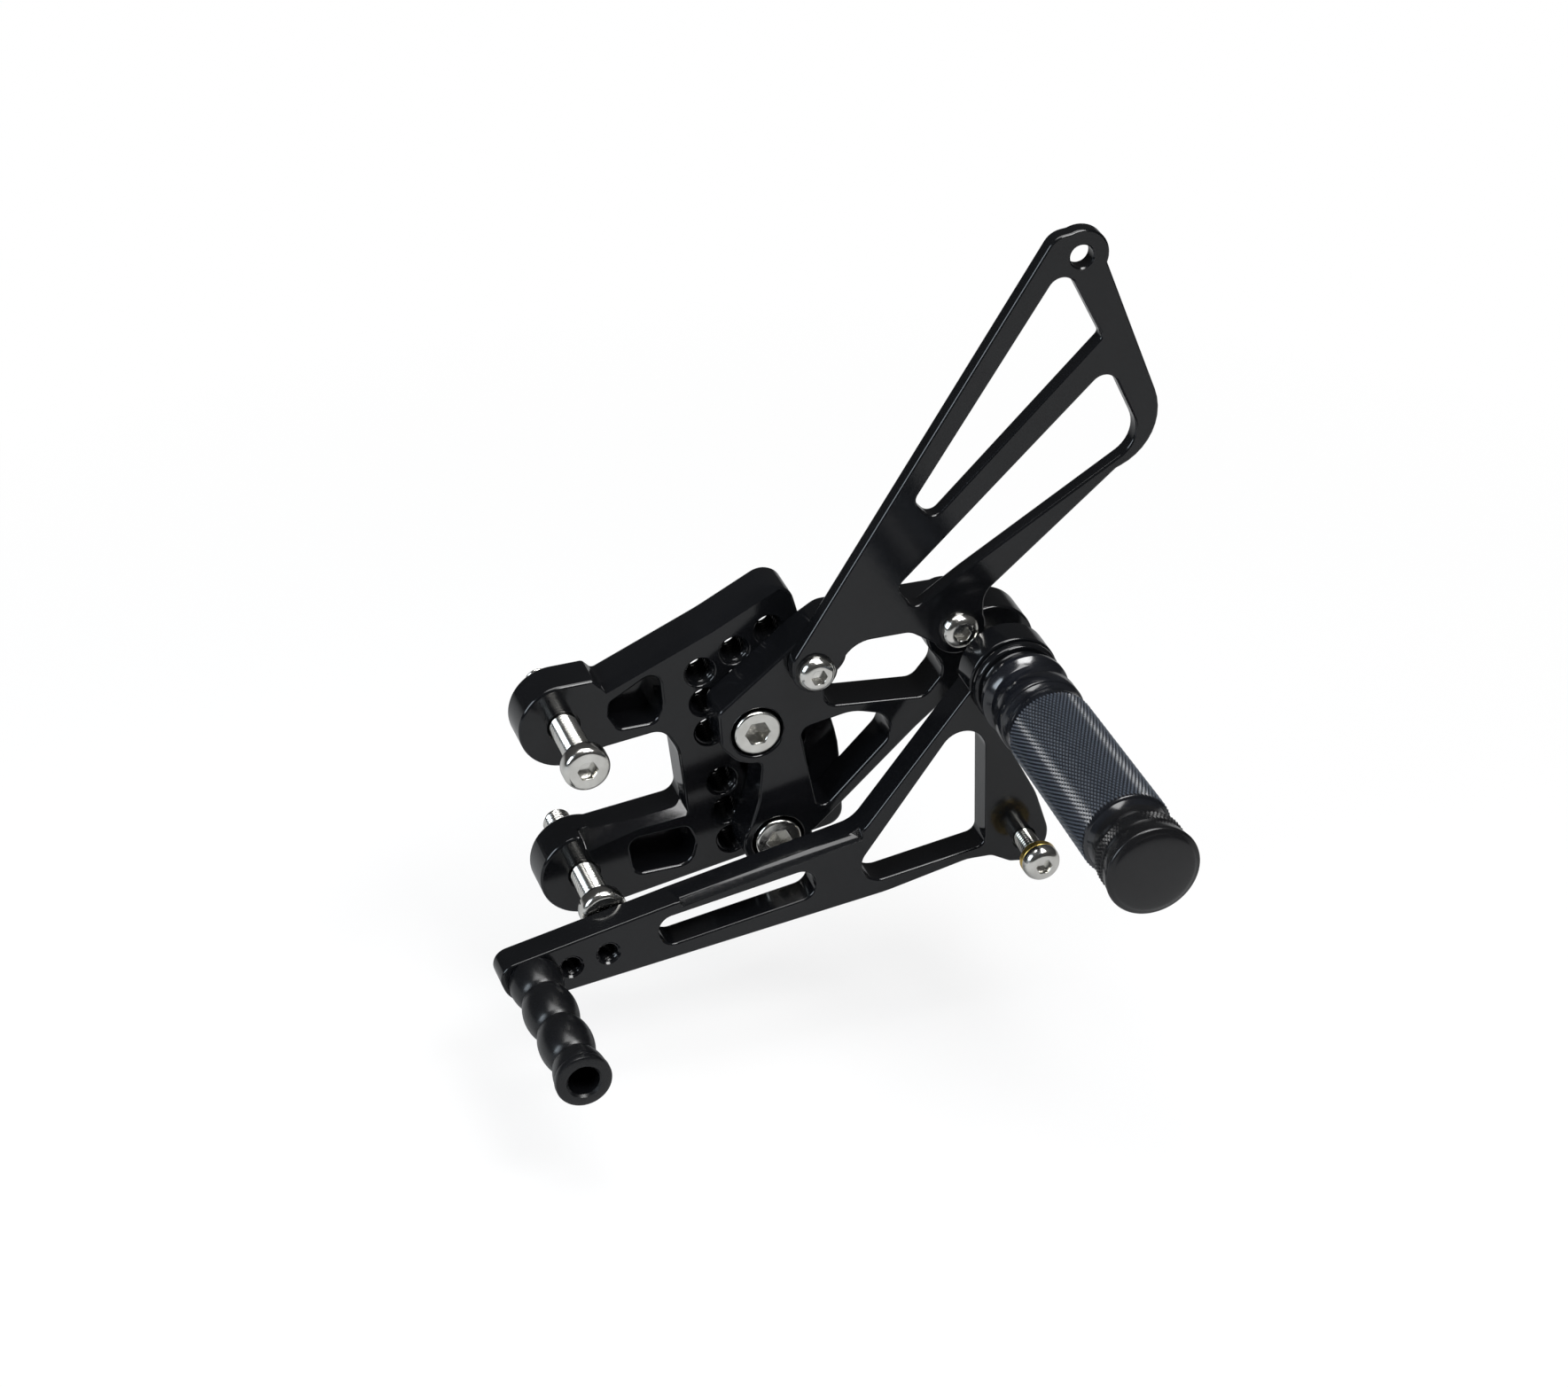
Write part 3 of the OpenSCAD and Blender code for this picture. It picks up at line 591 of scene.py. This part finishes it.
buildGrip()
buildEndCap()
buildToePeg()

threads = {
    "frame_bolt_upper": {"radius": 4 * mm, "core": 3.4 * mm, "pitch": 1.25 * mm, "columns": 40,
                         "head": 4.5 * mm, "endSlope": 0.5 * mm, "edge": 0.15 * mm},
    "frame_bolt_lower": {"radius": 4 * mm, "core": 3.4 * mm, "pitch": 1.25 * mm, "columns": 40,
                         "head": 4.5 * mm, "endSlope": 0.5 * mm, "edge": 0.15 * mm},
    "link_bolt": {"radius": 3 * mm, "core": 2.52 * mm, "pitch": 1.0 * mm, "columns": 32,
                  "head": 3.2 * mm, "endSlope": 0.4 * mm, "edge": 0.12 * mm},
}
rowsPerTurn = 6
underHeadGap, touch = 0.1 * mm, 0.01 * mm


def fromAxis(vert, spot):
    return Vector((vert.co.x - spot.x, vert.co.z - spot.y))


def setRadius(vert, spot, radius):
    away = fromAxis(vert, spot).normalized() * radius
    vert.co.x, vert.co.z = spot.x + away.x, spot.y + away.y


def threadSurface(start, end, spot, t, slot):
    length = end - start
    return wrapped(threadTree, spot, slot, {
        "Start": start, "Length": length, "Root Radius": t["radius"], "Tip Radius": t["radius"],
        "Relief": t["radius"] - t["core"], "Columns": t["columns"], "Pitch": t["pitch"],
        "Rows": round(length / t["pitch"] * rowsPerTurn)})


def threadRod(start, end, spot, t, slot):
    rod = bmesh.new()
    rod.from_mesh(threadSurface(start, end, spot, t, slot))
    bmesh.ops.remove_doubles(rod, verts=rod.verts, dist=turnedSeam)
    bmesh.ops.holes_fill(rod, edges=rod.edges)
    bmesh.ops.recalc_face_normals(rod, faces=rod.faces)
    return asMesh("rod", rod)


def threadedBolt(node):  # the CAD shank shrinks to the thread's core, and the thread is laid on it
    t = threads[node]
    start, end, spot = reach(node)
    underHead = end - t["head"]
    bm = weldedCopy(node)
    for vert in bm.verts:
        if -vert.co.y < underHead - touch and fromAxis(vert, spot).length > t["core"]:
            setRadius(vert, spot, t["core"])
    markEdges(bm)
    obj = asObject(camelCase(node), bm, slotOf[node])
    breakEdges(obj, t["edge"])
    both = bmesh.new()
    both.from_mesh(obj.data)
    both.from_mesh(threadRod(start + t["endSlope"], underHead - underHeadGap, spot, t,
                             slotOf[node]))
    both.to_mesh(obj.data)
    both.free()
    shade(obj)
    place(obj, node)


for node in threads:
    threadedBolt(node)
print("bolts threaded")

lattice = {  # the bracket's tapped holes, from each of the two carrier bolts
    "pitch": 10.8 * mm, "angle": math.radians(27), "rowPitch": 9.6 * mm,
    "lean": math.radians(7.5), "columns": (-1, 0, 1), "rows": (0, 1, 2)}
toeHoles = {"pitch": 10.5 * mm, "angle": math.radians(12), "places": (1, 2)}
tapped = {
    "bracketThreads": {"node": "frame_bracket", "radius": 3.98 * mm, "core": 3.5 * mm,
                       "pitch": 1.25 * mm, "columns": 28, "outs": (0.75 * mm, 11.25 * mm)},
    "leverThreads": {"node": "shift_lever", "radius": 2.98 * mm, "core": 2.6 * mm,
                     "pitch": 1.0 * mm, "columns": 24, "outs": (33.6 * mm, 41.4 * mm)},
}
wallDepth = 0.25 * mm


def threadRidge(spot, t, slot):  # a closed ring of thread, with its back inside the plate
    start, end = t["outs"]
    ridge = bmesh.new()
    ridge.from_mesh(threadSurface(start, end, spot, t, slot))
    for vert in ridge.verts:  # the first and last rows lie back against the wall
        if min(-vert.co.y - start, end + vert.co.y) < touch:
            setRadius(vert, spot, t["radius"])
    rims = [edge for edge in ridge.edges if edge.is_boundary]
    wall = bmesh.ops.extrude_edge_only(ridge, edges=rims)["geom"]
    for vert in (v for v in wall if isinstance(v, bmesh.types.BMVert)):
        setRadius(vert, spot, t["radius"] + wallDepth)
    bmesh.ops.bridge_loops(ridge, edges=[e for e in ridge.edges if e.is_boundary])
    bmesh.ops.recalc_face_normals(ridge, faces=ridge.faces)
    return asMesh("ridge", ridge)


def tappedHoles(name, spots):
    t = tapped[name]
    slot = slotOf[t["node"]]
    bm = bmesh.new()
    for spot in spots:
        bm.from_mesh(threadRidge(spot, t, slot))
    obj = asObject(name, bm, slot)
    shade(obj)
    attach(obj, bodyOf[t["node"]])
    print(name + ":", len(obj.data.polygons), "faces")


def latticeSpots():
    along = Vector((math.cos(lattice["angle"]), math.sin(lattice["angle"]))) * lattice["pitch"]
    up = Vector((-math.sin(lattice["lean"]), math.cos(lattice["lean"]))) * lattice["rowPitch"]
    for node in ("carrier_bolt_upper", "carrier_bolt_lower"):
        for i in lattice["columns"]:
            for j in lattice["rows"]:
                if (i, j) != (0, 0):  # the carrier bolt fills that one
                    yield reach(node)[2] + i * along + j * up


def toeHoleSpots():
    angle = toeHoles["angle"]
    step = Vector((math.cos(angle), math.sin(angle))) * toeHoles["pitch"]
    return [reach("toe_peg")[2] + n * step for n in toeHoles["places"]]


tappedHoles("bracketThreads", latticeSpots())
tappedHoles("leverThreads", toeHoleSpots())

studio = {
    "floorTone": 0.9, "floorMirrored": 0.5, "floorGlow": 0.82, "floorSize": 3.0,
    "floorRoughness": 0.9, "floorShine": 0.1,
    "floorCentre": (0.08, 0), "shadowReach": (0.16, 0.42),
    "floorDrop": 0.0295,  # room for the toe end, which swings 28 mm lower at the lever's limit
    "skyHeights": (-0.1, 0.9), "sideStrength": 0.04, "skyStrength": 0.07,
    "lamps": [  # place, aim, width, depth, watts, tint
        ((0.34, -0.62, 0.92), (0.07, -0.03, 0.05), 0.50, 0.34, 8, (1, 1, 1)),
        ((0.02, -0.10, 1.20), (0.07, -0.03, 0.03), 0.9, 0.7, 11, (1, 1, 1)),
        ((-0.85, -0.30, 0.42), (0.07, -0.03, 0.03), 0.45, 0.5, 5, (0.80, 0.90, 1)),
    ],
}
photoCamera = {"place": (-0.26030, -0.98393, 0.63738), "tilt": 59, "turn": -18.2,
               "lens": 101.75, "sensor": 36, "near": 0.05, "far": 20}
white = (1, 1, 1, 1)


def seenDirectly(nodes, links):
    path = nodes.new("ShaderNodeLightPath")
    either = nodes.new("ShaderNodeMath")
    either.operation = "MAXIMUM"
    links.new(path.outputs["Is Camera Ray"], either.inputs[0])
    links.new(path.outputs["Is Transmission Ray"], either.inputs[1])
    return either.outputs[0]


def mixInto(nodes, links, share, plain, bright, output):
    mix = nodes.new("ShaderNodeMixShader")
    links.new(share, mix.inputs["Fac"])
    links.new(plain, mix.inputs[1])
    links.new(bright, mix.inputs[2])
    links.new(mix.outputs["Shader"], output.inputs["Surface"])


def paleFloor(centre):
    mat = bpy.data.materials.new("paleFloor")
    mat.use_nodes = True
    nodes, links = mat.node_tree.nodes, mat.node_tree.links
    shader = nodes["Principled BSDF"]
    mirrored = nodes.new("ShaderNodeLightPath").outputs["Is Glossy Ray"]
    # the parts mirror a darker floor than the one that is seen
    tones = studio["floorTone"], studio["floorTone"] * studio["floorMirrored"]
    links.new(mapRange(nodes, links, mirrored, (0, 1), tones), shader.inputs["Base Color"])
    shader.inputs["Roughness"].default_value = studio["floorRoughness"]
    shader.inputs["Specular IOR Level"].default_value = studio["floorShine"]
    glow = nodes.new("ShaderNodeEmission")
    glow.inputs["Color"].default_value = white
    glow.inputs["Strength"].default_value = 1.0
    coords = nodes.new("ShaderNodeTexCoord")
    away = nodes.new("ShaderNodeVectorMath")
    away.operation = "DISTANCE"
    away.inputs[1].default_value = centre
    links.new(coords.outputs["Object"], away.inputs[0])
    # the floor glows more, up to plain white, with the distance from the shadow
    spread = mapRange(nodes, links, away.outputs["Value"], studio["shadowReach"],
                      (studio["floorGlow"], 1))
    share = nodes.new("ShaderNodeMath")
    share.operation = "MULTIPLY"
    links.new(seenDirectly(nodes, links), share.inputs[0])
    links.new(spread, share.inputs[1])
    mixInto(nodes, links, share.outputs[0], shader.outputs["BSDF"], glow.outputs["Emission"],
            nodes["Material Output"])
    return mat


def buildFloor():
    low = cadBox[0].z - studio["floorDrop"]
    half = studio["floorSize"] / 2
    centreX, centreY = studio["floorCentre"]
    corners = ((-half, -half), (half, -half), (half, half), (-half, half))
    bm = bmesh.new()
    bm.faces.new([bm.verts.new((centreX + x, centreY + y, low)) for x, y in corners])
    floor = bpy.data.objects.new("floor", asMesh("floor", bm))
    scene.collection.objects.link(floor)
    floor.data.materials.append(paleFloor((centreX, centreY, low)))


def buildWorld():
    world = bpy.data.worlds.new("studioRoom")
    scene.world = world
    world.use_nodes = True
    nodes, links = world.node_tree.nodes, world.node_tree.links
    room = nodes["Background"]
    room.inputs["Color"].default_value = white
    coords = nodes.new("ShaderNodeTexCoord")
    split = nodes.new("ShaderNodeSeparateXYZ")
    links.new(coords.outputs["Generated"], split.inputs["Vector"])
    strengths = studio["sideStrength"], studio["skyStrength"]
    strength = mapRange(nodes, links, split.outputs["Z"], studio["skyHeights"], strengths)
    links.new(strength, room.inputs["Strength"])
    backdrop = nodes.new("ShaderNodeBackground")
    backdrop.inputs["Color"].default_value = white
    mixInto(nodes, links, seenDirectly(nodes, links), room.outputs["Background"],
            backdrop.outputs["Background"], nodes["World Output"])


def buildLamps():
    for k, (spot, aim, width, depth, watts, tint) in enumerate(studio["lamps"]):
        data = bpy.data.lights.new("softLamp%d" % k, "AREA")
        data.shape, data.size, data.size_y = "RECTANGLE", width, depth
        data.energy, data.color = watts, tint
        lamp = bpy.data.objects.new(data.name, data)
        scene.collection.objects.link(lamp)
        lamp.location = spot
        lamp.rotation_euler = (Vector(aim) - Vector(spot)).to_track_quat("-Z", "Y").to_euler()


def buildCamera():
    c = photoCamera
    data = bpy.data.cameras.new("photoView")
    data.sensor_width, data.sensor_fit, data.lens = c["sensor"], "HORIZONTAL", c["lens"]
    data.clip_start, data.clip_end = c["near"], c["far"]
    camera = bpy.data.objects.new("photoView", data)
    scene.collection.objects.link(camera)
    camera.location = c["place"]
    camera.rotation_euler = (math.radians(c["tilt"]), 0, math.radians(c["turn"]))
    scene.camera = camera


buildFloor()
buildWorld()
buildLamps()
buildCamera()
scene.view_settings.view_transform = "Standard"
print("studio ready")
